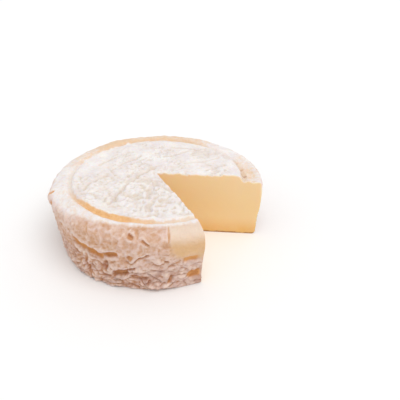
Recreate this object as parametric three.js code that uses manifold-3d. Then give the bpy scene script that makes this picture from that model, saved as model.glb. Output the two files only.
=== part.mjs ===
// A small soft-ripened cheese wheel with one wedge cut out of it, as one closed solid.
// Millimetres, +Z up. The wheel stands on z = 0 and its box is centred on the Z axis.

import * as THREE from 'three';
import { mergeVertices } from 'three/addons/utils/BufferGeometryUtils.js';
import Module from 'manifold-3d';

// Driving dimensions: the wheel is widest high up, at its belly, and narrows to the foot it stands on.
const WHEEL_RADIUS = 65;
const BELLY_HEIGHT = 35;
const BASE_RADIUS = 59.6;
const FOOT_RADIUS = 62;
const FOOT_HEIGHT = 3;

// The rim stands round the top as a soft lip, with a groove between it and the top face.
const LIP_RADIUS = 55.2;
const LIP_HEIGHT = 41.2;
const GROOVE_RADIUS = 52.4;
const GROOVE_HEIGHT = 40.1;
const FACE_RADIUS = 49.4;
const FACE_HEIGHT = 42;
const DISH_DEPTH = 0.2;

// The top face and its groove sit a little towards the front of the wheel, and are wider than deep.
const FACE_SHIFT = new THREE.Vector2(0.3, -2.2);
const FACE_WIDENING = 1;

// The missing wedge: two straight cuts from just behind the centre to past the rim.
const CUT_APEX = new THREE.Vector2(0, 1);
const FIRST_CUT_ANGLE = THREE.MathUtils.degToRad(-10.5);
const SECOND_CUT_ANGLE = THREE.MathUtils.degToRad(-69);
const CUT_REACH = 110;
const CUT_MARGIN = 10;

// How finely the wheel is divided: round it, and along each curve of its profile.
const SEGMENTS_ROUND = 116;
const PROFILE_STEPS = { base: 2, foot: 4, side: 14, shoulder: 7, lip: 3, groove: 4, face: 7 };

// Slow waves round the wheel: how many, how deep in millimetres, and where each starts in radians.
const OUTLINE_WAVES = [
  { count: 2, depth: 0.5, start: 1.3 },
  { count: 3, depth: 0.35, start: 0.4 },
  { count: 7, depth: 0.3, start: 2.1 },
  { count: 17, depth: 0.2, start: 0.9 },
];
const RIM_WAVES = [
  { count: 1, depth: 1, start: 3.75 },
  { count: 4, depth: 0.3, start: 0.6 },
  { count: 9, depth: 0.25, start: 2.4 },
  { count: 14, depth: 0.2, start: 1.1 },
];
const FACE_WAVES = [
  { count: 3, depth: 0.3, start: 0.2 },
  { count: 5, depth: 0.2, start: 1.7 },
];

// Short folds in the side: they go round in golden-angle steps and climb from the foot in rows.
const FOLD_COUNT = 90;
const FOLD_ROW_HEIGHTS = [6, 10.5, 15.5, 21, 27];
const FOLD_ROW_DEPTHS = [1.9, 1.6, 1.3, 1, 0.6];
const FOLD_LENGTH = 8;
const FOLD_WIDTH = 1.8;
const FOLD_SLOPE = 0.2;
const GOLDEN_ANGLE = Math.PI * (3 - Math.sqrt(5));

// The open slit is the one fold that stands out: long, deep and level.
const SLIT_ANGLE = THREE.MathUtils.degToRad(-124);
const SLIT = { angle: SLIT_ANGLE, height: 24, length: 11, depth: 2.2, width: 1.8, slope: 0 };

// Beside each cut the shoulder swells outwards, as a fold of negative depth.
const SWELLINGS = [
  { angle: THREE.MathUtils.degToRad(-69), height: 32, length: 14, depth: -1.7, width: 9, slope: 0 },
  { angle: THREE.MathUtils.degToRad(-4), height: 37, length: 14, depth: -1.4, width: 4, slope: 0 },
];

// Beside the first cut the lip sags below the face, and the face rises a little.
const SAG = { angle: THREE.MathUtils.degToRad(6), spread: 0.45, drop: 3, rise: 0.8 };

// Half the outline of the wheel, from the centre of the base up and over to the centre of the top.
function wheelProfile() {
  const middle = FACE_HEIGHT - DISH_DEPTH;
  const path = new THREE.Path();
  path.moveTo(0, 0);
  path.lineTo(BASE_RADIUS, 0);
  path.bezierCurveTo(FOOT_RADIUS - 1, 0, FOOT_RADIUS, FOOT_HEIGHT / 3, FOOT_RADIUS, FOOT_HEIGHT);
  path.bezierCurveTo(
    FOOT_RADIUS + 0.8, FOOT_HEIGHT + 9, WHEEL_RADIUS, BELLY_HEIGHT - 12, WHEEL_RADIUS, BELLY_HEIGHT);
  path.bezierCurveTo(
    WHEEL_RADIUS, BELLY_HEIGHT + 2.6, LIP_RADIUS + 4.6, LIP_HEIGHT - 0.6, LIP_RADIUS, LIP_HEIGHT);
  path.bezierCurveTo(
    LIP_RADIUS - 1, LIP_HEIGHT, GROOVE_RADIUS + 0.8, GROOVE_HEIGHT, GROOVE_RADIUS, GROOVE_HEIGHT);
  path.bezierCurveTo(
    GROOVE_RADIUS - 0.9, GROOVE_HEIGHT, FACE_RADIUS + 1.4, FACE_HEIGHT, FACE_RADIUS, FACE_HEIGHT);
  path.bezierCurveTo(FACE_RADIUS * 0.7, FACE_HEIGHT, FACE_RADIUS * 0.3, middle, 0, middle);
  const steps = Object.values(PROFILE_STEPS);
  const runs = path.curves.map((curve, index) => curve.getPoints(steps[index]));
  return runs.flatMap((points, index) => (index === 0 ? points : points.slice(1)));
}

function waveSum(waves, angle) {
  return waves.reduce((sum, wave) => sum + wave.depth * Math.sin(wave.count * angle + wave.start), 0);
}

// How deep one fold cuts at a place on the side: a soft trench that fades out at both ends.
function foldDepth(fold, angle, height) {
  const turn = angle - fold.angle;
  const along = WHEEL_RADIUS * Math.atan2(Math.sin(turn), Math.cos(turn));
  const across = height - fold.height - fold.slope * along;
  return fold.depth * Math.exp(-((along / fold.length) ** 2) - (across / fold.width) ** 2);
}

function sideFolds() {
  const folds = [SLIT, ...SWELLINGS];
  for (let index = 0; index < FOLD_COUNT; index += 1) {
    const row = index % FOLD_ROW_HEIGHTS.length;
    folds.push({
      angle: index * GOLDEN_ANGLE,
      height: FOLD_ROW_HEIGHTS[row] + Math.sin(index * GOLDEN_ANGLE * 2),
      length: FOLD_LENGTH * (1 + 0.4 * Math.sin(index)),
      depth: FOLD_ROW_DEPTHS[row],
      width: FOLD_WIDTH,
      slope: FOLD_SLOPE * Math.cos(index),
    });
  }
  return folds;
}

// How far the rim drops and the face rises here, beside the first cut.
function sagLift(angle, onLip, onFace) {
  const turn = angle - SAG.angle;
  const share = Math.exp(-((Math.atan2(Math.sin(turn), Math.cos(turn)) / SAG.spread) ** 2));
  return share * (SAG.rise * onFace - SAG.drop * onLip);
}

// Moves every point of the smooth wheel in or out and up or down. The flat base stays flat.
function makeUneven(geometry) {
  const { smoothstep } = THREE.MathUtils;
  const folds = sideFolds();
  const position = geometry.getAttribute('position');
  const point = new THREE.Vector3();
  for (let index = 0; index < position.count; index += 1) {
    point.fromBufferAttribute(position, index);
    const angle = Math.atan2(point.y, point.x);
    const radius = Math.hypot(point.x, point.y);
    const outwards = radius / WHEEL_RADIUS;
    const onSide = smoothstep(radius, FACE_RADIUS, LIP_RADIUS);
    const onLip = onSide * (1 - smoothstep(radius, LIP_RADIUS, WHEEL_RADIUS));
    const onFace = smoothstep(radius, FACE_RADIUS / 4, FACE_RADIUS - 5) * (1 - onSide);
    const onTop = smoothstep(point.z, BELLY_HEIGHT, LIP_HEIGHT - 3);
    const widening = FACE_WIDENING * Math.cos(angle) ** 2;
    const reach = FACE_SHIFT.x * Math.cos(angle) + FACE_SHIFT.y * Math.sin(angle) + widening;
    const shift = onTop * (onFace + onLip) * reach;
    const folded = folds.reduce((sum, fold) => sum + foldDepth(fold, angle, point.z), 0);
    const newRadius = radius + outwards * waveSum(OUTLINE_WAVES, angle) + shift - onSide * folded;
    const lift = onSide * waveSum(RIM_WAVES, angle) + onFace * waveSum(FACE_WAVES, angle);
    point.x = newRadius * Math.cos(angle);
    point.y = newRadius * Math.sin(angle);
    point.z += onTop * (lift + sagLift(angle, onLip, onFace));
    position.setXYZ(index, point.x, point.y, point.z);
  }
}

function wholeWheel() {
  const geometry = new THREE.LatheGeometry(wheelProfile(), SEGMENTS_ROUND);
  geometry.rotateX(Math.PI / 2);
  makeUneven(geometry);
  return geometry;
}

// An upright prism over the sector between the two cuts, taller than the wheel at both ends.
function missingWedge() {
  const outline = new THREE.Shape();
  outline.moveTo(CUT_APEX.x, CUT_APEX.y);
  for (const angle of [SECOND_CUT_ANGLE, FIRST_CUT_ANGLE]) {
    outline.lineTo(CUT_APEX.x + CUT_REACH * Math.cos(angle), CUT_APEX.y + CUT_REACH * Math.sin(angle));
  }
  const depth = LIP_HEIGHT + 2 * CUT_MARGIN;
  const geometry = new THREE.ExtrudeGeometry(outline, { depth, bevelEnabled: false });
  geometry.translate(0, 0, -CUT_MARGIN);
  return geometry;
}

// Joins shared corners, so that the solid library reads the shape as closed.
function toSolid(wasm, geometry) {
  const bare = geometry.clone();
  bare.deleteAttribute('normal');
  bare.deleteAttribute('uv');
  const merged = mergeVertices(bare, 1e-4);
  const corners = merged.getIndex().array;
  const kept = [];
  for (let index = 0; index < corners.length; index += 3) {
    const [a, b, c] = corners.slice(index, index + 3);
    if (a !== b && b !== c && c !== a) kept.push(a, b, c);
  }
  return new wasm.Manifold(new wasm.Mesh({
    numProp: 3,
    vertProperties: new Float32Array(merged.getAttribute('position').array),
    triVerts: new Uint32Array(kept),
  }));
}

function toGeometry(solid) {
  const mesh = solid.getMesh();
  const geometry = new THREE.BufferGeometry();
  geometry.setAttribute('position', new THREE.BufferAttribute(mesh.vertProperties, 3));
  geometry.setIndex(new THREE.BufferAttribute(mesh.triVerts, 1));
  geometry.computeVertexNormals();
  return geometry;
}

// Puts the box's centre over the origin, with the flat base at z = 0.
function standAtOrigin(geometry) {
  geometry.computeBoundingBox();
  const box = geometry.boundingBox;
  geometry.translate(-(box.min.x + box.max.x) / 2, -(box.min.y + box.max.y) / 2, -box.min.z);
}

const wasm = await Module();
wasm.setup();

const cheeseGeometry = toGeometry(toSolid(wasm, wholeWheel()).subtract(toSolid(wasm, missingWedge())));
standAtOrigin(cheeseGeometry);

const bloomyRind = new THREE.MeshStandardMaterial({ color: 0xeadcca, roughness: 0.85, metalness: 0 });
const cheese = new THREE.Mesh(cheeseGeometry, bloomyRind);
cheese.name = 'cheese_wheel';

const model = new THREE.Group();
model.add(cheese);

export default model;
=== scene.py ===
import math
import random
from typing import NamedTuple

import bmesh
import bpy
from bpy.props import FloatProperty, FloatVectorProperty, IntProperty, PointerProperty
from mathutils import Matrix, Vector, noise
from mathutils.geometry import interpolate_bezier
from mathutils.kdtree import KDTree


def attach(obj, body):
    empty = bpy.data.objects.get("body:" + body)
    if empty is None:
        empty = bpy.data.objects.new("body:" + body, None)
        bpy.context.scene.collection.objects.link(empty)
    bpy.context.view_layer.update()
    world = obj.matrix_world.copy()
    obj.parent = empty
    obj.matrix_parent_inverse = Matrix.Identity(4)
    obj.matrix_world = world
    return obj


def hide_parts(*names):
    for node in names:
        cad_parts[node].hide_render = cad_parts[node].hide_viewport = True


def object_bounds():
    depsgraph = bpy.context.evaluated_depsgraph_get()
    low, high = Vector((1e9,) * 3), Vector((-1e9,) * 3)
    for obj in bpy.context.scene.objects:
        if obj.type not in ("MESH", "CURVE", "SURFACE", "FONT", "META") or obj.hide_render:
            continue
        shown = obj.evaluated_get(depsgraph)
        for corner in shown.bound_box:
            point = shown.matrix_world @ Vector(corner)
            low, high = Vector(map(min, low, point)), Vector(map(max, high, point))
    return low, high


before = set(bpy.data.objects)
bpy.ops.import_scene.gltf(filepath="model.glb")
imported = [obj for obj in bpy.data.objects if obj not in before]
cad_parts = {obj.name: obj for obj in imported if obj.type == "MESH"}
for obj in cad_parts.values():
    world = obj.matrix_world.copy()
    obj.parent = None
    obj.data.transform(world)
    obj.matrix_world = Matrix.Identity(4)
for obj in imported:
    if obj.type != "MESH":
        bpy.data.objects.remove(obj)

bl_info = {
    "name": "Cheese Wheel",
    "version": (1, 0, 0),
    "blender": (4, 5, 0),
    "location": "View3D > Sidebar > Cheese",
    "description": "A small soft-ripened cheese wheel with one wedge cut out of it",
    "category": "Add Mesh",
}

CAD_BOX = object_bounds()
CAD_LOW, CAD_HIGH = CAD_BOX
MM = 0.001
UP = Vector((0, 0, 1))

# Points closer together than this are one point, and points this near a plane lie on it.
TOUCHING = 1e-6
NEAR_PLANE = 0.01 * MM

# The wheel's waves stand this far out of its mean outline, so the box is that much wider.
OUTLINE_WAVE = 0.5 * MM
WHEEL_RADIUS = (CAD_HIGH.x - CAD_LOW.x) / 2 - OUTLINE_WAVE


# ---------------------------------------------------------------------------
# Settings
# ---------------------------------------------------------------------------


def length(name, description, default):
    return FloatProperty(name=name, description=description, default=default, precision=4, unit="LENGTH")


def turn(name, description, degrees):
    default = math.radians(degrees)
    return FloatProperty(name=name, description=description, default=default, unit="ROTATION")


def strength(name, description, default):
    return FloatProperty(name=name, description=description, default=default, min=0.0)


def colour(name, description, default):
    return FloatVectorProperty(
        name=name, description=description, default=default, subtype="COLOR", min=0.0, max=1.0
    )


class WheelSizes(bpy.types.PropertyGroup):
    """Sizes of the wheel, its rim and its cut."""

    wheel_radius: length("Wheel radius", "Half the width at the belly", WHEEL_RADIUS)
    belly_height: length("Belly height", "Height of the widest place", 35 * MM)
    base_radius: length("Base radius", "Radius of the flat underside", 59.6 * MM)
    foot_radius: length("Foot radius", "Radius just above the underside", 62 * MM)
    foot_height: length("Foot height", "Height of the rounded foot", 3 * MM)
    lip_radius: length("Lip radius", "Radius of the lip's crest", 55.2 * MM)
    lip_height: length("Lip height", "Height of the lip's crest", 41.2 * MM)
    groove_radius: length("Groove radius", "Radius of the groove inside the lip", 52.4 * MM)
    groove_height: length("Groove height", "Height of the groove's floor", 40.1 * MM)
    face_radius: length("Face radius", "Radius where the top face begins", 49.4 * MM)
    face_height: length("Face height", "Height of the top face at its edge", 42 * MM)
    dish: length("Dish", "How far the top face sinks at its centre", 0.2 * MM)
    first_cut: turn("First cut", "Direction of the cut face that looks to the front", -9.63)
    second_cut: turn("Second cut", "Direction of the other cut face", -68.68)
    point_back: length("Point of the cut", "How far the two cuts meet behind the wheel's middle", 1 * MM)
    steps_round: IntProperty(name="Steps round", description="Divisions round the wheel", default=540)


class RindFeel(bpy.types.PropertyGroup):
    """How deep the rind is folded and wrinkled."""

    lumps: length("Lumps", "Depth of the broad unevenness", 0.7 * MM)
    folds: length("Folds", "How far the folds near the foot hang over each other", 1.7 * MM)
    creases: length("Creases", "Depth of the creases below the folds", 0.6 * MM)
    blobs: length("Blobs", "How far the blobs between the folds stand out", 0.9 * MM)
    wrinkles: length("Wrinkles", "Depth of the small wrinkles on the side", 0.5 * MM)
    crumble: length("Crumble", "Depth of the crumbly bloom on the top face", 1.1 * MM)
    seed: IntProperty(name="Seed", description="Which pattern the rind takes", default=4, min=1)


class CheeseColours(bpy.types.PropertyGroup):
    """Colours of the bloom, the bare rind and the paste."""

    top_bloom: colour("Top bloom", "White bloom on the top face", (0.885, 0.86, 0.84))
    side_bloom: colour("Side bloom", "Dusty bloom on the side", (0.82, 0.65, 0.56))
    lilac: colour("Lilac", "Shadowy tint in the bloom", (0.86, 0.80, 0.84))
    # Beige goes into the hollows of the top face: partly the thin bloom's own tint and partly painted
    # shade.
    beige: colour("Beige", "Hollows in the bloom of the top face", (0.66, 0.535, 0.405))
    tan: colour("Tan", "Bare rind on the side", (0.60, 0.33, 0.185))
    peach: colour("Peach", "Thinly covered rind at the rim", (0.79, 0.56, 0.37))
    cream: colour("Cream", "Smooth uncovered rind beside the cut", (0.73, 0.46, 0.23))
    amber: colour("Amber", "Moist bare rind in the groove", (0.76, 0.40, 0.15))
    amber_light: colour("Light amber", "Drier bare rind", (0.86, 0.56, 0.29))
    slit: colour("Slit", "Moist rind down in the slits and pits", (0.72, 0.34, 0.12))
    # Painted shade: this dark brown goes into creases, recesses, gaps and slits where shade falls, over the
    # brown of the bare rind.
    crease: colour("Crease", "Brown rind deep in the creases", (0.32, 0.09, 0.027))
    paste: colour("Paste", "Paste in the middle of a cut face", (0.87, 0.62, 0.32))
    paste_top: colour("Upper paste", "Paste below the top rind", (0.88, 0.65, 0.37))
    paste_base: colour("Lower paste", "Paste above the bottom rind", (0.81, 0.47, 0.155))
    crust: colour("Crust", "Thin brown rind under the paste", (0.42, 0.19, 0.06))
    skin: colour("Skin", "The rind's edge where it is cut through", (0.93, 0.82, 0.72))


class StageSettings(bpy.types.PropertyGroup):
    """Floor, light and camera."""

    floor_colour: colour("Floor", "Colour of the floor", (0.93, 0.93, 0.93))
    sky: strength("Sky", "Strength of the even light all round", 0.76)
    key: strength("Key light", "Strength of the soft light from above", 1.2)
    key_spread: turn("Key spread", "How wide the key light looks, which softens its shadows", 50)
    distance: length("Distance", "From the camera to the middle of the wheel", 0.3926)
    elevation: turn("Elevation", "Height of the camera above the horizon", 31.3)
    roll: turn("Roll", "How far the picture leans", 0.6)
    aim: FloatVectorProperty(
        name="Aim",
        description="The place the camera looks at",
        default=(26.7 * MM, 0, 21.3 * MM),
        subtype="TRANSLATION",
        unit="LENGTH",
    )
    pivot: length("Pivot height", "Height of the point that the camera is turned round", 22.8 * MM)
    lens: FloatProperty(name="Lens", description="Focal length in millimetres", default=55.46)


# ---------------------------------------------------------------------------
# Small helpers
# ---------------------------------------------------------------------------


def smooth(value, low, high):
    """0 below low, 1 above high, and a soft step between them."""
    share = min(max((value - low) / (high - low), 0.0), 1.0)
    return share * share * (3 - 2 * share)


def bump_at(value, centre, width):
    """1 at the centre, fading to nothing about two widths away."""
    return math.exp(-(((value - centre) / width) ** 2))


def degrees_from(angle, degrees):
    """How far an angle is from a direction given in degrees, the short way round, in degrees."""
    apart = angle - math.radians(degrees)
    return math.degrees(math.atan2(math.sin(apart), math.cos(apart)))


def arc_share(angle, start, end, fade):
    """1 between two directions in degrees, counted anticlockwise, with soft ends."""
    half = ((end - start) % 360) / 2
    away = abs(degrees_from(angle, start + half))
    return 1 - smooth(away, half - fade, half + fade)


# ---------------------------------------------------------------------------
# The rind's relief. Places on the wheel are in millimetres here.
# ---------------------------------------------------------------------------

# The radius on which lengths along the side are measured.
SIDE_RADIUS = 64

# The top face and its groove sit towards the front of the wheel, and are wider than deep.
FACE_SHIFT = Vector((0.3, -2.2))
FACE_WIDENING = 1.0

# The rim is lifted by this much at the front left and dropped as much at the back right. The tilt
# is one sine wave round the wheel, which starts this many radians before the direction of +X.
RIM_TILT = 1.0
RIM_TILT_START = 3.75

# Beside the first cut the rim sags and the face rises.
RIM_SAG = 3.2
FACE_RISE = 0.9

# The top face is crumbliest round this place, and dented beside the point of the cut.
CRUMBLY_PLACE = Vector((-2, -28))
DENT_PLACE = Vector((-2.8, 9.0))

# The smooth patch begins in this direction, in degrees.
PATCH_START = -85.5


class Crack(NamedTuple):
    """An opening in the side: where it is, how it lies and what shows inside."""

    angle: float
    height: float
    half_length: float
    half_width: float
    lean: float
    depth: float
    amber: float
    # How much painted shade lies in the crack, as dark brown, mostly under its upper edge.
    brown: float


# The slits, pits and creases that stand out on the front of the wheel, left to right.
FRONT_CRACKS = [
    Crack(-170, 37.2, 1.8, 1.1, 60, 0.9, 0.9, 0.2),
    Crack(-164, 33.8, 3.0, 1.6, 80, 1.2, 0.9, 0.15),
    Crack(-135, 24.6, 5.2, 2.4, -8, 2.0, 1.0, 0.45),
    Crack(-131.5, 10, 5.0, 1.3, -70, 1.6, 0.4, 0.95),
    Crack(-125.5, 22.8, 6.4, 2.3, -10, 2.4, 1.0, 0.5),
    Crack(-120, 8.1, 3.0, 1.1, 0, 1.5, 0.2, 0.9),
    Crack(-115.8, 24.6, 5.0, 1.6, 14, 2.2, 0.9, 0.8),
    Crack(-111.5, 11.8, 5.4, 1.8, 12, 2.6, 0.6, 1.0),
    Crack(-106, 15.4, 3.4, 0.7, 15, 1.2, 0.1, 0.9),
    Crack(-105.3, 24.6, 1.8, 1.4, 60, 1.2, 0.6, 0.5),
    Crack(-104.6, 37.6, 1.8, 0.8, -20, 0.8, 0.5, 0.8),
    Crack(-101.5, 9.8, 6.0, 1.2, -6, 1.8, 0.3, 1.0),
    Crack(-98.2, 25.6, 3.4, 0.7, 30, 1.0, 0.1, 0.7),
    Crack(-97.2, 35.6, 2.6, 0.7, -35, 0.8, 0.5, 0.8),
    Crack(-97.2, 6.5, 2.0, 0.9, 50, 1.4, 0.1, 0.9),
    Crack(-89.9, 14.4, 2.0, 0.8, 0, 1.1, 0.1, 0.7),
    Crack(-87.5, 21.6, 1.2, 0.9, 0, 1.2, 0.1, 0.9),
    Crack(-85.9, 7.3, 2.4, 1.1, 60, 1.2, 0.4, 0.6),
    Crack(-85.6, 38.4, 3.0, 0.5, 80, 0.4, 0.5, 0.15),
    Crack(-75.2, 22.2, 4.4, 2.1, 0, 1.4, 1.0, 0.1),
    Crack(-73.2, 9.0, 4.6, 2.5, 5, 1.5, 1.0, 0.12),
]


def more_cracks(count=26, seed=11):
    """Cracks of the same kinds for the back and the far side, where they fall as they may."""
    dice = random.Random(seed)
    made = []
    for _ in range(count):
        low = dice.random() < 0.6
        height = dice.uniform(6, 15) if low else dice.uniform(15, 37)
        amber = dice.choice((0.1, 0.2, 0.3, 0.7))
        made.append(Crack(
            angle=dice.uniform(-8, 178),
            height=height,
            half_length=dice.uniform(1.5, 6) * (1.3 if low else 0.8),
            half_width=dice.uniform(0.6, 1.2),
            lean=dice.gauss(0, 14) if low else dice.gauss(0, 45),
            depth=dice.uniform(1.0, 2.0),
            amber=amber,
            brown=dice.uniform(0.3, 1.0),
        ))
    return made


CRACKS = FRONT_CRACKS + more_cracks()


class Spot:
    """One place on the smooth wheel, and what the rind is like there."""

    def __init__(self, place):
        self.point = place / MM
        self.angle = math.atan2(place.y, place.x)
        self.radius = self.point.xy.length
        self.height = self.point.z
        self.on_side = smooth(self.radius, 57, 61) * (1 - smooth(self.height, 36.5, 40))
        self.on_face = (1 - smooth(self.radius, 47.6, 50.4)) * smooth(self.height, 20, 30)
        self.low = 1 - smooth(self.height, 10, 32)
        self.free = smooth(self.height, 0.0, 1.2)
        self.top = 0.0
        self.bloom = 1.0
        self.amber = 0.0
        self.crease = 0.0
        self.hollow = 0.0
        self.slit = 0.0
        self.drop = 0.0
        self.quiet = 0.0
        self.patch = 0.0
        self.rise = 0.0

    def paint_shade(self, amount):
        # Painted shade: how much dark brown is laid in here to stand for the shade in a recess.
        self.crease = max(self.crease, amount)


def top_share(spot):
    """How white the bloom is: as on the top face, or dusty as on the side.

    The dust reaches up to the lip at the front, and stays below the rim at the left and the back.
    """
    front = arc_share(spot.angle, -132, -60, 30)
    wander = 0.8 * noise.noise(spot.point / 7) + 0.5 * noise.noise(spot.point / 2.5)
    limit = 64.2 - 6.7 * front + wander
    return smooth(spot.height, 30, 38) * (1 - smooth(spot.radius, limit - 2, limit + 2))


def smooth_patch(spot):
    """The creamy patch beside the second cut, where the rind is bare and unwrinkled."""
    away = degrees_from(spot.angle, PATCH_START)
    if not -6 < away < 24 or spot.height < 15:
        return 0.0
    wander = noise.noise(spot.point / 5) + 0.5 * noise.noise(spot.point / 2)
    across = smooth(away + 2.2 * wander, -1.5, 2.0)
    above = smooth(spot.height + 5 * wander + 0.3 * away, 22, 31)
    return across * above * smooth(spot.radius, 56, 61)


class Swelling(NamedTuple):
    """A place where the side swells out: where it is, how far it spreads and how far it stands out."""

    angle: float
    spread: float
    height: float
    half_height: float
    out: float


# The shoulder beside the second cut, the bulge at the left, and the foot at the left and in front.
SWELLINGS = [
    Swelling(-69, 11, 32, 9, 1.7),
    Swelling(-169, 8, 36, 3.2, 1.8),
    Swelling(-136, 16, 3, 8, 1.2),
    Swelling(-94, 7, 3, 6, 1.3),
]


def lumps(spot, feel):
    """Broad unevenness, the swellings of the side, and the rise of the face beside the first cut."""
    total = feel.lumps / MM * noise.noise(spot.point / 24 + Vector((3, 1, 7)))
    beside_cut = arc_share(spot.angle, -14, 14, 20)
    total += FACE_RISE * beside_cut * smooth(spot.radius, 12, 40) * spot.on_face
    for place in SWELLINGS:
        share = bump_at(degrees_from(spot.angle, place.angle), 0, place.spread)
        share *= bump_at(spot.height, place.height, place.half_height) * smooth(spot.radius, 50, 62)
        total += place.out * share
    return total


def fold(phase):
    """One fold hangs over the next: 0 in the recess, a quick step out, and a slow way back in."""
    part = phase - math.floor(phase)
    recess = math.exp(-(((part if part < 0.5 else part - 1) / 0.13) ** 2))
    return (1 - part) * smooth(part, 0.0, 0.16), recess


def folds(spot, feel):
    """Ragged folds of rind that hang over each other, deep near the foot and faint above."""
    bend = 1.6 * noise.noise(spot.point / 15) + 0.6 * noise.noise(spot.point / 5.5)
    turns = spot.angle / math.tau
    total = 0.0
    for spacing, climb, share, offset in ((6.4, 7, 1.0, 0), (4.4, -12, 0.6, 31)):
        swell = noise.noise(spot.point / 7 + Vector((offset, 4, 2)))
        amount = share * smooth(swell, -0.25, 0.3) * (0.1 + 0.9 * spot.low)
        out, recess = fold(spot.height / spacing + climb * turns + bend + offset)
        total += amount * (feel.folds / MM * (out - 0.4) - feel.creases / MM * recess)
        # Painted shade in the recess below each overhanging fold.
        spot.paint_shade(0.75 * recess * amount)
    return total * spot.on_side


def blobs(spot, feel):
    """Thick blobs of rind, wider than they are high, with narrow gaps between them."""
    bent = spot.point + 4.5 * noise.noise_vector(spot.point / 8)
    bent += 1.0 * noise.noise_vector(spot.point / 2.5)
    distances, _ = noise.voronoi(Vector((bent.x / 12, bent.y / 12, bent.z / 8)))
    edge = distances[1] - distances[0]
    share = spot.on_side * (0.25 + 0.75 * spot.low)
    gap = 1 - smooth(edge, 0.0, 0.16)
    # Painted shade in the narrow gaps between the blobs.
    spot.paint_shade(0.5 * gap * share * spot.low)
    return share * feel.blobs / MM * (smooth(edge, 0.0, 0.55) - 0.6 - 0.25 * gap)


def wrinkles(spot, feel):
    """Small wrinkles all over the side, with a raised net of thicker bloom higher up."""
    place = spot.point / 6.5 + 0.5 * noise.noise_vector(spot.point / 5)
    distances, _ = noise.voronoi(place)
    net = math.exp(-(((distances[1] - distances[0]) / 0.16) ** 2))
    rough = noise.turbulence(spot.point / 3.4, 3, True) - 0.6
    pits = noise.noise(spot.point / 1.9 + Vector((7, 0, 3)))
    spot.bloom += 0.25 * net * (1 - spot.low)
    # Painted shade in the hollows of the wrinkles near the foot.
    spot.paint_shade(0.30 * smooth(-rough, 0.05, 0.45) * spot.low)
    depth = feel.wrinkles / MM * (0.75 + 0.25 * spot.low)
    return depth * (1.4 * rough + 0.6 * pits + 0.7 * net * (1 - 2 * spot.low))


def cracks(spot):
    """The slits and pits: each is a trench with its own lean on the unrolled side."""
    total = 0.0
    reach = smooth(spot.radius, 57, 59)
    if reach == 0.0:
        return total
    ragged = 0.4 * noise.noise(spot.point / 2.6) + 1.0 * noise.noise(spot.point / 5.5)
    for crack in CRACKS:
        along = math.radians(degrees_from(spot.angle, crack.angle)) * SIDE_RADIUS
        if abs(along) > crack.half_length * 1.3 + 2:
            continue
        up = spot.height - crack.height + ragged
        lean = math.radians(crack.lean)
        run = along * math.cos(lean) + up * math.sin(lean)
        across = up * math.cos(lean) - along * math.sin(lean)
        if abs(across) > 4 * crack.half_width:
            continue
        share = reach * (1 - smooth(abs(run), crack.half_length * 0.5, crack.half_length * 1.25))
        inside = share * math.exp(-((across / crack.half_width) ** 4))
        raised = share * bump_at(abs(across), 1.9 * crack.half_width, 0.7 * crack.half_width)
        total += crack.depth * (0.3 * raised - inside)
        spot.quiet = max(spot.quiet, min(1.2 * crack.amber * inside, 1.0))
        # Painted shade inside each slit, as dark brown: strongest under its upper edge, over the brown of
        # the bare rind.
        upper = smooth(across, -0.2 * crack.half_width, 0.8 * crack.half_width)
        lower = smooth(-across, 0.5 * crack.half_width, 1.0 * crack.half_width)
        spot.slit = max(spot.slit, crack.amber * smooth(inside, 0.15, 0.7))
        spot.paint_shade(crack.brown * smooth(inside, 0.1, 0.6) * (0.3 + 0.7 * max(upper, 0.6 * lower)))
        spot.bloom += 0.4 * raised
    return total


def face_relief(spot, feel):
    """The crumbly bloom of the top face: coarser towards the front, with smooth places in between."""
    crumbly = bump_at((spot.point.xy - CRUMBLY_PLACE).length, 0, 22)
    calm = smooth(noise.noise(spot.point / 15 + Vector((5, 5, 1))), -0.1, 0.35) * (1 - crumbly)
    bent = spot.point + 1.8 * noise.noise_vector(spot.point / 4)
    fine = noise.turbulence(bent / 2.6, 3, True) - 0.6
    coarse = noise.noise(bent / 3.2 + Vector((9, 2, 5)))
    broad = noise.noise(spot.point / 9)
    streaks = noise.noise(Vector(((bent.x + bent.y) / 9, (bent.y - bent.x) / 3, 4)))
    rough = 0.9 * fine + (0.6 + 1.2 * crumbly) * coarse + 0.6 * streaks * (1 - crumbly)
    rise = (1 - 0.75 * calm) * rough + 0.8 * broad
    # The low places of the face are marked for the beige, which is partly painted shade.
    spot.hollow = (1 - 0.6 * calm) * smooth(-rise, -0.1, 0.8) * (0.5 + 0.5 * crumbly)
    return spot.on_face * feel.crumble / MM * rise


# Faint marks pressed into the top face: where each starts and ends, and its depth.
FACE_MARKS = [
    ((-27.3, -30.6), (-17, -9), 1.5),
    ((-17, -9), (-3, 8), 1.2),
    ((-43, -14), (-31, 3), 1.2),
    ((-12, -24), (0, -12), 0.6),
    ((-36, 16), (-22, 30), 0.6),
    ((-28, 8), (-10, 26), 0.5),
    ((6, 22), (22, 30), 0.7),
    ((18, 12), (40, 16), 0.6),
    ((30, 0), (42, 6), 0.6),
    ((-38, -20), (-28, -30), 0.5),
    ((-22, -4), (-32, 12), 0.5),
    ((12, 38), (30, 32), 0.6),
]


def marks(spot):
    """Faint creases from the draining cloth, and the dent beside the point of the cut."""
    here = spot.point.xy + 1.4 * noise.noise_vector(spot.point / 7).xy
    total = 0.0
    for start, end, depth in FACE_MARKS:
        start, end = Vector(start), Vector(end)
        along = end - start
        share = min(max((here - start).dot(along) / along.length_squared, 0.0), 1.0)
        away = (here - start - along * share).length
        pressed = bump_at(away, 0, 1.0)
        total -= depth * (pressed - 0.3 * bump_at(away, 2.6, 0.9))
        # The beige, partly painted shade, is laid into the pressed marks and the dent.
        spot.hollow = max(spot.hollow, min(depth, 1.0) * pressed)
    dent = bump_at((here - DENT_PLACE).length, 0, 2.2)
    spot.hollow = max(spot.hollow, dent)
    return (total - 0.9 * dent) * spot.on_face


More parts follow.
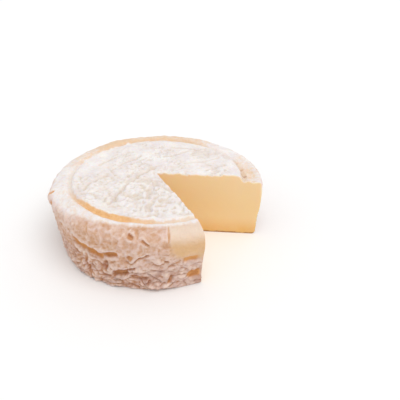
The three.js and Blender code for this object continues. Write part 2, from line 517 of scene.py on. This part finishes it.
def rim(spot):
    """The lip, its groove and the places where the bloom has worn off them."""
    ring = smooth(spot.radius, 45, 50) * smooth(spot.height, 34, 39)
    if ring == 0.0:
        return 0.0
    front_left = arc_share(spot.angle, -150, -98, 16)
    front = arc_share(spot.angle, -160, -66, 12)
    back = arc_share(spot.angle, 50, 128, 14)
    left_back = arc_share(spot.angle, 112, 160, 12)
    left = arc_share(spot.angle, 150, -150, 12)
    sag = arc_share(spot.angle, -14, 30, 16)
    right = arc_share(spot.angle, -14, 14, 16)

    flat = spot.point.xy.to_3d()
    edge = 49.6 + 0.9 * noise.noise(flat / 6 + Vector((0, 0, 2))) + 0.5 * noise.noise(flat / 2.2)
    edge += 1.4 * (1 - front_left) + 2.4 * left_back
    edge += 1.8 * (back + left_back) * noise.noise(Vector((spot.angle * 8, 5, 1)))
    wall = smooth(spot.radius, edge, edge + 0.8) * (1 - smooth(spot.radius, 52.8, 54.2))
    spot.amber = max(spot.amber, wall * (front_left + 0.3 * (front - front_left)))
    # The groove's wall takes some of the beige, which is partly painted shade.
    spot.hollow = max(spot.hollow * (1 - ring), 0.5 * wall)

    band = smooth(spot.radius, edge - 1.2, edge + 0.4) * (1 - smooth(spot.radius, 60, 65))
    worn = 0.9 * back + 0.6 * left_back + 0.8 * right + 0.35 * (sag - right) + 0.25 * front + 0.12 * left
    spot.bloom -= band * worn

    ripples = noise.noise(Vector((spot.angle * 19, spot.radius / 9, 3)))
    # Painted shade in the hollows of the ripples at the right end of the rim.
    spot.paint_shade(0.45 * right * smooth(-ripples, 0.1, 0.5) * band)
    spot.drop = RIM_SAG * ring * sag * smooth(spot.radius, 49.5, 54) * (1 - smooth(spot.radius, 58, 64))
    spot.drop -= RIM_TILT * ring * math.sin(spot.angle + RIM_TILT_START)
    lift = 0.5 * noise.noise(flat / 12 + Vector((0, 0, 4)))
    lift += 0.3 * noise.noise(flat / 4 + Vector((0, 0, 9)))
    lift += 0.5 * back * bump_at(spot.radius, 55.5, 3)
    lift += 1.8 * arc_share(spot.angle, -14, 6, 10) * bump_at(spot.radius, 64.5, 2.2)
    lift += (0.25 + 0.45 * right) * ripples * smooth(spot.radius, 49.6, 52.6)
    return ring * lift


def bloom_cover(spot):
    """How thickly the white bloom lies: full on the top, dusty and patchy on the side."""
    cloud = noise.noise(spot.point / 8 + Vector((2, 8, 1)))
    fine = noise.noise(spot.point / 2.6) + 0.6 * noise.noise(spot.point / 1.3)
    left = arc_share(spot.angle, 150, -142, 16) * smooth(spot.height, 28, 37)
    near_cut = arc_share(spot.angle, -102, -60, 16)
    high = smooth(spot.height, 35, 39)
    dusty = 0.34 + (0.6 * cloud + 0.4 * fine) * (0.55 + 0.45 * spot.low) + 0.6 * left + 0.25 * high
    # Lighter low on the side towards the second cut: partly creamier rind and partly painted light on the
    # side that faces the key light.
    dusty += (0.22 + 0.7 * near_cut) * spot.low
    return spot.bloom * spot.top + (spot.bloom - 1 + dusty) * (1 - spot.top)


def shift_face(spot):
    """How far the top face and its groove reach out here, as they sit towards the front of the wheel."""
    share = smooth(spot.radius, 15, 45) * (1 - smooth(spot.radius, 54, 62)) * smooth(spot.height, 20, 36)
    across, along = math.cos(spot.angle), math.sin(spot.angle)
    return share * (FACE_SHIFT.x * across + FACE_SHIFT.y * along + FACE_WIDENING * across ** 2)


def shade_hollows(bm, spots):
    """Paints shade into the hollows of the side, by baring and browning the rind there, and paints light on
    what stands up between them, by whitening it; on the top face it marks the hollows for the beige.
    """
    around = [[edge.other_vert(vert).index for edge in vert.link_edges] for vert in bm.verts]
    level = [spot.rise for spot in spots]
    for _ in range(4):
        level = [sum(level[index] for index in near) / len(near) for near in around]
    for spot, mean in zip(spots, level):
        depth = mean - spot.rise
        dusty = (1 - spot.top) * (1 - 0.8 * spot.patch)
        # Painted light and painted shade: less bloom in the hollows and more on the raised places.
        uneven = 0.9 * smooth(depth, 0.02, 0.3) - 0.5 * smooth(-depth, 0.02, 0.3)
        spot.bloom = bloom_cover(spot) - dusty * (0.5 + 0.5 * spot.low) * uneven
        # Painted shade: dark brown in the deeper hollows.
        spot.paint_shade(0.6 * dusty * smooth(depth, 0.14, 0.6) * (1 - spot.slit))
        # Hollows in the top face take the beige, which is partly painted shade.
        spot.hollow = max(spot.hollow, spot.on_face * smooth(depth, 0.03, 0.32))


def rind_at(place, feel, cuts):
    """What the rind is like at one place, and how far it stands out there."""
    spot = Spot(place)
    spot.top = top_share(spot)
    spot.patch = smooth_patch(spot)
    spot.rise = lumps(spot, feel) + rim(spot)
    if spot.on_face > 0:
        spot.rise += face_relief(spot, feel) + marks(spot)
    if spot.radius > 55:
        trench = cracks(spot)
        dusty = 1 - spot.top
        wrinkled = dusty * wrinkles(spot, feel)
        if spot.on_side > 0:
            wrinkled += folds(spot, feel) + blobs(spot, feel)
        beside = min(abs(degrees_from(spot.angle, cut)) for cut in cuts)
        wrinkled *= (1 - 0.85 * spot.patch ** 2) * (1 - 0.7 * spot.quiet)
        wrinkled *= 0.25 + 0.75 * smooth(beside, 0, 4)
        spot.rise += wrinkled + trench
        # The painted shade is kept off the white top and faded on the smooth patch.
        spot.crease *= dusty * (1 - 0.7 * spot.patch)
    return spot


# What each point of the mesh is told about the rind, for the material to read. The mask of dark creases is
# painted shade, and the mask of hollows is partly painted shade.
MASKS = ("bloom", "amber", "crease", "top", "hollow", "patch", "slit")


def shape_rind(bm, feel, cuts):
    """Moves each point of the smooth wheel along its normal, and records what shows there.

    Points move in their own upright plane through the axis, so that the open ends stay flat.
    """
    noise.seed_set(feel.seed)
    bm.normal_update()
    bm.verts.index_update()
    spots = [rind_at(vert.co, feel, cuts) for vert in bm.verts]
    shade_hollows(bm, spots)
    stores = [bm.verts.layers.float.new(name) for name in MASKS]
    for vert, spot in zip(bm.verts, spots):
        outward = Vector((math.cos(spot.angle), math.sin(spot.angle), 0))
        across = outward.cross(UP)
        normal = (vert.normal - across * vert.normal.dot(across)).normalized()
        vert.co += (normal * spot.rise * spot.free + outward * shift_face(spot) - UP * spot.drop) * MM
        vert.co.z = max(vert.co.z, 0.0)
        for name, store in zip(MASKS, stores):
            vert[store] = min(max(getattr(spot, name), 0.0), 1.0)


# ---------------------------------------------------------------------------
# The wheel's mesh
# ---------------------------------------------------------------------------

# The paste is the mesh's second material, after the rind.
PASTE = 1


def outline(sizes):
    """Half the wheel's outline, from the centre of the base round to the centre of the top."""
    base, foot, wheel = sizes.base_radius, sizes.foot_radius, sizes.wheel_radius
    lip, groove, face = sizes.lip_radius, sizes.groove_radius, sizes.face_radius
    low, belly, crest = sizes.foot_height, sizes.belly_height, sizes.lip_height
    floor, top, middle = sizes.groove_height, sizes.face_height, sizes.face_height - sizes.dish
    stretches = (
        ((0, 0), (base / 3, 0), (base * 2 / 3, 0), (base, 0), 5),
        ((base, 0), (foot - 1 * MM, 0), (foot, low / 3), (foot, low), 7),
        ((foot, low), (foot + 0.8 * MM, low + 9 * MM), (wheel, belly - 12 * MM), (wheel, belly), 60),
        ((wheel, belly), (wheel, belly + 2.6 * MM), (lip + 4.6 * MM, crest - 0.6 * MM),
         (lip, crest), 20),
        ((lip, crest), (lip - 1 * MM, crest), (groove + 0.8 * MM, floor), (groove, floor), 5),
        ((groove, floor), (groove - 0.9 * MM, floor), (face + 1.4 * MM, top), (face, top), 7),
        ((face, top), (face * 0.7, top), (face * 0.3, middle), (0, middle), 54),
    )
    points = []
    for start, near, far, end, rows in stretches:
        corners = [Vector((radius, 0, height)) for radius, height in (start, near, far, end)]
        points += interpolate_bezier(*corners, rows + 1)[1 if points else 0:]
    return points


def spin_outline(bm, sizes):
    """Turns the outline round the upright axis, from the first cut the long way to the second."""
    verts = [bm.verts.new(point) for point in outline(sizes)]
    edges = [bm.edges.new(pair) for pair in zip(verts, verts[1:])]
    bmesh.ops.rotate(bm, verts=verts, cent=(0, 0, 0), matrix=Matrix.Rotation(sizes.first_cut, 3, "Z"))
    sweep = (sizes.second_cut - sizes.first_cut) % math.tau
    bmesh.ops.spin(
        bm, geom=verts + edges, cent=(0, 0, 0), axis=(0, 0, 1), angle=sweep, steps=sizes.steps_round
    )
    bmesh.ops.remove_doubles(bm, verts=bm.verts, dist=TOUCHING)
    bmesh.ops.recalc_face_normals(bm, faces=bm.faces)


def close_cut(bm, edges, normal):
    """Fills one open end with a face that looks along the given direction."""
    made = bmesh.ops.contextual_create(bm, geom=edges)["faces"]
    if len(made) != 1:
        raise RuntimeError("a cut face could not be closed")
    made[0].normal_update()
    if made[0].normal.dot(normal) < 0:
        bmesh.ops.reverse_faces(bm, faces=made)
    return made[0]


# How a cut face is divided: thin strips along the rind, and a square grid inside them.
CUT_STRIPS = (0.4 * MM, 0.5 * MM, 0.6 * MM)
CUT_GRID = 1.3 * MM


def grid_cut(bm, face, along):
    """Divides a cut face: thin strips along the rind first, then a square grid inside them."""
    faces = [face]
    for strip in CUT_STRIPS:
        faces += bmesh.ops.inset_region(
            bm, faces=[face], thickness=strip, use_boundary=True, use_even_offset=False
        )["faces"]
    parts = [face] + list(face.edges) + list(face.verts)
    reach = max(vert.co.length for vert in face.verts)
    for direction in (along, UP):
        for step in range(int(reach / CUT_GRID)):
            place = direction * CUT_GRID * (step + 0.5)
            parts = bmesh.ops.bisect_plane(
                bm, geom=parts, dist=TOUCHING, plane_co=place, plane_no=direction
            )["geom"]
    faces += [part for part in parts if isinstance(part, bmesh.types.BMFace)]
    return list(dict.fromkeys(found for found in faces if found.is_valid))


def soften_cut(bm, faces, rim_places, normal):
    """Gives a cut face the slight waves of a knife cut, and records where the upper rind is cut through."""
    skin = bm.verts.layers.float.get("skin") or bm.verts.layers.float.new("skin")
    tree = KDTree(len(rim_places))
    for index, place in enumerate(rim_places):
        tree.insert(place, index)
    tree.balance()
    for vert in {vert for face in faces for vert in face.verts}:
        away = tree.find(vert.co)[2] / MM
        vert[skin] = bump_at(away, 0, 0.65) * smooth(vert.co.z / MM, 26, 34)
        wave = 0.25 * noise.noise(vert.co / (14 * MM)) + 0.06 * noise.noise(vert.co / (3 * MM))
        vert.co += normal * wave * MM * smooth(away, 0, 4) * smooth(vert.co.xy.length / MM, 0, 4)


def lies_on_cut(edge, along, normal):
    """Whether an edge is on the open end that reaches out along the given direction."""
    in_plane = all(abs(vert.co.dot(normal)) < NEAR_PLANE for vert in edge.verts)
    return in_plane and all(vert.co.dot(along) > -TOUCHING for vert in edge.verts)


def cut_faces(bm, sizes):
    """Closes both cuts, which share the upright edge between the poles, and marks them as paste."""
    open_edges = [edge for edge in bm.edges if edge.is_boundary]
    poles = {vert for edge in open_edges for vert in edge.verts if vert.co.xy.length < TOUCHING}
    middle = bm.edges.new(sorted(poles, key=lambda vert: vert.co.z))
    pastes = []
    for angle, side in ((sizes.first_cut, -1), (sizes.second_cut, 1)):
        along = Vector((math.cos(angle), math.sin(angle), 0))
        normal = Vector((-along.y, along.x, 0)) * side
        edges = [edge for edge in open_edges if lies_on_cut(edge, along, normal)]
        rim_places = [vert.co.copy() for edge in edges for vert in edge.verts]
        for edge in edges:
            edge.smooth = False
        pastes.append((close_cut(bm, edges + [middle], normal), along, rim_places, normal))
    middle.smooth = False
    for face, along, rim_places, normal in pastes:
        parts = grid_cut(bm, face, along)
        soften_cut(bm, parts, rim_places, normal)
        for part in parts:
            part.material_index = PASTE


def pull_centre(bm, sizes):
    """Moves the middle of the wheel, and the point of the cut with it, a little to the back."""
    for vert in bm.verts:
        vert.co.y += sizes.point_back * (1 - vert.co.xy.length / sizes.wheel_radius)
        vert.co.z = max(vert.co.z, 0.0)


def build_wheel(sizes, feel):
    """One closed mesh: the rind is its first material and the paste its second."""
    bm = bmesh.new()
    spin_outline(bm, sizes)
    shape_rind(bm, feel, (math.degrees(sizes.first_cut), math.degrees(sizes.second_cut)))
    cut_faces(bm, sizes)
    pull_centre(bm, sizes)
    for face in bm.faces:
        face.smooth = True
    mesh = bpy.data.meshes.new("cheese_wheel_whole")
    bm.to_mesh(mesh)
    bm.free()
    return mesh


# ---------------------------------------------------------------------------
# Materials
# ---------------------------------------------------------------------------


def add(tree, kind, inputs=None, **settings):
    """A node with its settings made and its inputs set or linked."""
    made = tree.nodes.new(kind)
    for name, value in settings.items():
        setattr(made, name, value)
    for name, value in (inputs or {}).items():
        if isinstance(value, bpy.types.NodeSocket):
            tree.links.new(value, made.inputs[name])
        else:
            made.inputs[name].default_value = value
    return made


def calculate(tree, operation, first, second=0.5, third=0.5, clamp=False):
    inputs = {0: first, 1: second, 2: third}
    return add(tree, "ShaderNodeMath", inputs, operation=operation, use_clamp=clamp).outputs[0]


def scaled(tree, value, factor):
    return calculate(tree, "MULTIPLY", value, factor)


def blend(tree, share, first, second, mode="MIX"):
    """The first colour where the share is 0 and the second where it is 1."""
    made = add(tree, "ShaderNodeMix", data_type="RGBA", blend_type=mode)
    for index, value in ((0, share), (6, first), (7, second)):
        if isinstance(value, bpy.types.NodeSocket):
            tree.links.new(value, made.inputs[index])
        elif index == 0:
            made.inputs[index].default_value = value
        else:
            made.inputs[index].default_value = (*value[:3], 1)
    return made.outputs[2]


def mask(tree, name):
    """One of the values that the mesh carries at each point."""
    return add(tree, "ShaderNodeAttribute", attribute_name=name).outputs["Fac"]


def grain(tree, place, scale, detail, roughness):
    """Plain noise, with so many specks to the metre."""
    inputs = {"Vector": place, "Scale": scale, "Detail": detail, "Roughness": roughness}
    return add(tree, "ShaderNodeTexNoise", inputs).outputs["Fac"]


def ramp(tree, value, low, high):
    """0 below low and 1 above high, with a soft step between."""
    made = add(tree, "ShaderNodeMapRange", {"Value": value, "From Min": low, "From Max": high})
    made.interpolation_type = "SMOOTHSTEP"
    return made.outputs["Result"]


def mottle_group():
    """Cloudy blotches with finer specks in them, as a mask from 0 to 1."""
    group = bpy.data.node_groups.new("mottle", "ShaderNodeTree")
    for name, default in (("Size", 8 * MM), ("Specks", 0.4)):
        socket = group.interface.new_socket(name=name, in_out="INPUT", socket_type="NodeSocketFloat")
        socket.default_value = default
    group.interface.new_socket(name="Mask", in_out="OUTPUT", socket_type="NodeSocketFloat")
    given = group.nodes.new("NodeGroupInput")
    place = add(group, "ShaderNodeTexCoord").outputs["Object"]
    scale = calculate(group, "DIVIDE", 1.0, given.outputs["Size"])
    finer = calculate(group, "MULTIPLY", scale, 5.0)
    clouds = grain(group, place, scale, 4.0, 0.55)
    specks = grain(group, place, finer, 3.0, 0.6)
    both = add(group, "ShaderNodeMix", {0: given.outputs["Specks"], 2: clouds, 3: specks})
    result = group.nodes.new("NodeGroupOutput")
    group.links.new(ramp(group, both.outputs[0], 0.32, 0.68), result.inputs["Mask"])
    return group


def mottle(tree, size, specks):
    """The mottle with blotches of the given size, and so much of its specks."""
    group = bpy.data.node_groups.get("mottle") or mottle_group()
    made = add(tree, "ShaderNodeGroup", node_tree=group)
    made.inputs["Size"].default_value = size
    made.inputs["Specks"].default_value = specks
    return made.outputs["Mask"]


def bump(tree, height, distance, amount, normal=None):
    """A normal that shows a fine height, laid over another normal if one is given."""
    inputs = {"Height": height, "Distance": distance, "Strength": amount}
    if normal is not None:
        inputs["Normal"] = normal
    return add(tree, "ShaderNodeBump", inputs).outputs["Normal"]


def new_material(name):
    material = bpy.data.materials.new(name)
    material.use_nodes = True
    tree = material.node_tree
    tree.nodes.clear()
    shader = add(tree, "ShaderNodeBsdfPrincipled")
    output = add(tree, "ShaderNodeOutputMaterial")
    tree.links.new(shader.outputs[0], output.inputs[0])
    return material, tree, shader


def rind_material(colours):
    """White bloom over tan rind, amber where it is bare and brown in the creases."""
    material, tree, shader = new_material("bloomy_rind")
    place = add(tree, "ShaderNodeTexCoord").outputs["Object"]
    top = mask(tree, "top")
    blotch = mottle(tree, 9 * MM, 0.35)
    specks = mottle(tree, 2.4 * MM, 0.5)
    white = blend(tree, top, colours.side_bloom, colours.top_bloom)
    lilac = blend(tree, 1.0, white, colours.lilac, "MULTIPLY")
    white = blend(tree, scaled(tree, blotch, 0.7), white, lilac)
    bare = blend(tree, top, colours.tan, colours.peach)
    spread = calculate(tree, "MULTIPLY_ADD", specks, 0.7, -0.35)
    cover = calculate(tree, "ADD", mask(tree, "bloom"), spread, clamp=True)
    base = blend(tree, cover, bare, white)
    speckled = calculate(tree, "MULTIPLY_ADD", specks, 0.7, 0.25)
    # Beige in the hollows of the top face: partly the bloom's own tint and partly painted shade.
    base = blend(tree, scaled(tree, mask(tree, "hollow"), speckled), base, colours.beige)
    high = ramp(tree, add(tree, "ShaderNodeSeparateXYZ", {0: place}).outputs["Z"], 31 * MM, 40 * MM)
    cream = blend(tree, scaled(tree, high, 0.5), colours.cream, colours.top_bloom)
    base = blend(tree, scaled(tree, mask(tree, "patch"), 0.85), base, cream)
    amber = blend(tree, specks, colours.amber, colours.amber_light)
    base = blend(tree, mask(tree, "amber"), base, amber)
    moist = blend(tree, scaled(tree, specks, 0.6), colours.slit, colours.amber)
    base = blend(tree, mask(tree, "slit"), base, moist)
    # Painted shade in creases and recesses, laid over the rind as dark brown.
    base = blend(tree, mask(tree, "crease"), base, colours.crease)
    tree.links.new(base, shader.inputs["Base Color"])
    wet = calculate(tree, "MULTIPLY_ADD", mask(tree, "amber"), -0.4, 0.88)
    tree.links.new(wet, shader.inputs["Roughness"])
    fine = grain(tree, place, 1100.0, 5.0, 0.6)
    coarse = grain(tree, place, 420.0, 3.0, 0.6)
    crumpled = calculate(tree, "MULTIPLY_ADD", top, -0.5, 1.0)
    normal = bump(tree, scaled(tree, coarse, crumpled), 0.9 * MM, 0.8)
    tree.links.new(bump(tree, fine, 0.3 * MM, 0.9, normal), shader.inputs["Normal"])
    shader.inputs["Subsurface Weight"].default_value = 0.12
    shader.inputs["Subsurface Radius"].default_value = (1.0, 0.6, 0.3)
    shader.inputs["Subsurface Scale"].default_value = 1.0 * MM
    shader.inputs["Specular IOR Level"].default_value = 0.3
    return material


def paste_material(colours):
    """Smooth buttery paste, paler under the top rind and deeper towards the base."""
    material, tree, shader = new_material("cheese_paste")
    place = add(tree, "ShaderNodeTexCoord").outputs["Object"]
    height = add(tree, "ShaderNodeSeparateXYZ", {0: place}).outputs["Z"]
    upper = ramp(tree, height, 18 * MM, 40 * MM)
    lower = ramp(tree, height, 13 * MM, 1 * MM)
    base = blend(tree, upper, colours.paste, colours.paste_top)
    base = blend(tree, lower, base, colours.paste_base)
    cloud = scaled(tree, mottle(tree, 14 * MM, 0.3), 0.25)
    base = blend(tree, cloud, base, colours.paste_top)
    base = blend(tree, mask(tree, "skin"), base, colours.skin)
    ragged = calculate(tree, "MULTIPLY_ADD", mottle(tree, 7 * MM, 0.2), 0.9 * MM, 0)
    foot = ramp(tree, calculate(tree, "SUBTRACT", height, ragged), 0.6 * MM, 0.1 * MM)
    base = blend(tree, foot, base, colours.crust)
    tree.links.new(base, shader.inputs["Base Color"])
    shader.inputs["Roughness"].default_value = 0.5
    soft = grain(tree, place, 260.0, 4.0, 0.5)
    tree.links.new(bump(tree, soft, 0.15 * MM, 0.6), shader.inputs["Normal"])
    shader.inputs["Subsurface Weight"].default_value = 0.35
    shader.inputs["Subsurface Radius"].default_value = (1.0, 0.55, 0.2)
    shader.inputs["Subsurface Scale"].default_value = 3 * MM
    shader.inputs["Specular IOR Level"].default_value = 0.35
    return material


def floor_material(stage):
    material, _, shader = new_material("pale_floor")
    shader.inputs["Base Color"].default_value = (*stage.floor_colour, 1)
    shader.inputs["Roughness"].default_value = 0.9
    return material


# ---------------------------------------------------------------------------
# Operators
# ---------------------------------------------------------------------------


class CHEESE_OT_wheel(bpy.types.Operator):
    """Builds the cut wheel with its rind and paste."""

    bl_idname = "cheese.wheel"
    bl_label = "Cheese Wheel"

    def execute(self, context):
        scene = context.scene
        mesh = build_wheel(scene.wheel_sizes, scene.rind_feel)
        mesh.materials.append(rind_material(scene.cheese_colours))
        mesh.materials.append(paste_material(scene.cheese_colours))
        wheel = bpy.data.objects.new("cheese_wheel_whole", mesh)
        scene.collection.objects.link(wheel)
        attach(wheel, "root")
        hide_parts("cheese_wheel")
        return {"FINISHED"}


FLOOR_REACH = 6
KEY_FROM = Vector((0.25, -0.4, 1.0))


def add_floor(stage):
    """A wide flat floor under the wheel."""
    bm = bmesh.new()
    bmesh.ops.create_grid(bm, x_segments=1, y_segments=1, size=FLOOR_REACH)
    mesh = bpy.data.meshes.new("floor")
    bm.to_mesh(mesh)
    bm.free()
    mesh.materials.append(floor_material(stage))
    floor = bpy.data.objects.new("floor", mesh)
    bpy.context.scene.collection.objects.link(floor)


def add_light(stage):
    """An even white sky, and one broad light from above and in front."""
    world = bpy.data.worlds.new("soft_studio")
    world.use_nodes = True
    world.node_tree.nodes["Background"].inputs["Color"].default_value = (1, 1, 1, 1)
    world.node_tree.nodes["Background"].inputs["Strength"].default_value = stage.sky
    bpy.context.scene.world = world
    sun = bpy.data.lights.new("key", "SUN")
    sun.energy = stage.key
    sun.angle = stage.key_spread
    lamp = bpy.data.objects.new("key", sun)
    lamp.rotation_euler = KEY_FROM.to_track_quat("Z", "Y").to_euler()
    bpy.context.scene.collection.objects.link(lamp)


def add_camera(stage):
    """Stands the camera in front of the wheel, which it shows left of the middle."""
    pivot = Vector((0, 0, stage.pivot))
    back = Vector((0, -math.cos(stage.elevation), math.sin(stage.elevation)))
    camera = bpy.data.cameras.new("camera")
    camera.lens = stage.lens
    camera.clip_start = 0.01
    camera.clip_end = 50
    eye = bpy.data.objects.new("camera", camera)
    eye.location = pivot + back * stage.distance
    level = (Vector(stage.aim) - eye.location).to_track_quat("-Z", "Y").to_matrix()
    eye.rotation_euler = (level @ Matrix.Rotation(-stage.roll, 3, "Z")).to_euler()
    bpy.context.scene.collection.objects.link(eye)
    bpy.context.scene.camera = eye


class CHEESE_OT_stage(bpy.types.Operator):
    """Lays the pale floor and sets up the soft light and the camera."""

    bl_idname = "cheese.stage"
    bl_label = "Stage"

    def execute(self, context):
        scene = context.scene
        scene.view_settings.view_transform = "Standard"
        add_floor(scene.stage_settings)
        add_light(scene.stage_settings)
        add_camera(scene.stage_settings)
        return {"FINISHED"}


class CHEESE_PT_panel(bpy.types.Panel):
    """Lists the settings and the steps that build the cheese."""

    bl_label = "Cheese Wheel"
    bl_idname = "CHEESE_PT_panel"
    bl_space_type = "VIEW_3D"
    bl_region_type = "UI"
    bl_category = "Cheese"

    def draw(self, context):
        layout = self.layout
        for settings in SETTINGS:
            box = layout.box()
            group = getattr(context.scene, settings)
            for name in group.__annotations__:
                box.prop(group, name)
        for operator in OPERATORS:
            layout.operator(operator.bl_idname)


SETTINGS = {
    "wheel_sizes": WheelSizes,
    "rind_feel": RindFeel,
    "cheese_colours": CheeseColours,
    "stage_settings": StageSettings,
}
OPERATORS = (CHEESE_OT_wheel, CHEESE_OT_stage)


def register():
    for group in SETTINGS.values():
        bpy.utils.register_class(group)
    for operator in OPERATORS:
        bpy.utils.register_class(operator)
    bpy.utils.register_class(CHEESE_PT_panel)
    for name, group in SETTINGS.items():
        setattr(bpy.types.Scene, name, PointerProperty(type=group))


def unregister():
    for name in SETTINGS:
        delattr(bpy.types.Scene, name)
    bpy.utils.unregister_class(CHEESE_PT_panel)
    for operator in reversed(OPERATORS):
        bpy.utils.unregister_class(operator)
    for group in reversed(SETTINGS.values()):
        bpy.utils.unregister_class(group)


def main():
    register()
    bpy.ops.cheese.wheel()
    bpy.ops.cheese.stage()


if __name__ == "__main__":
    main()
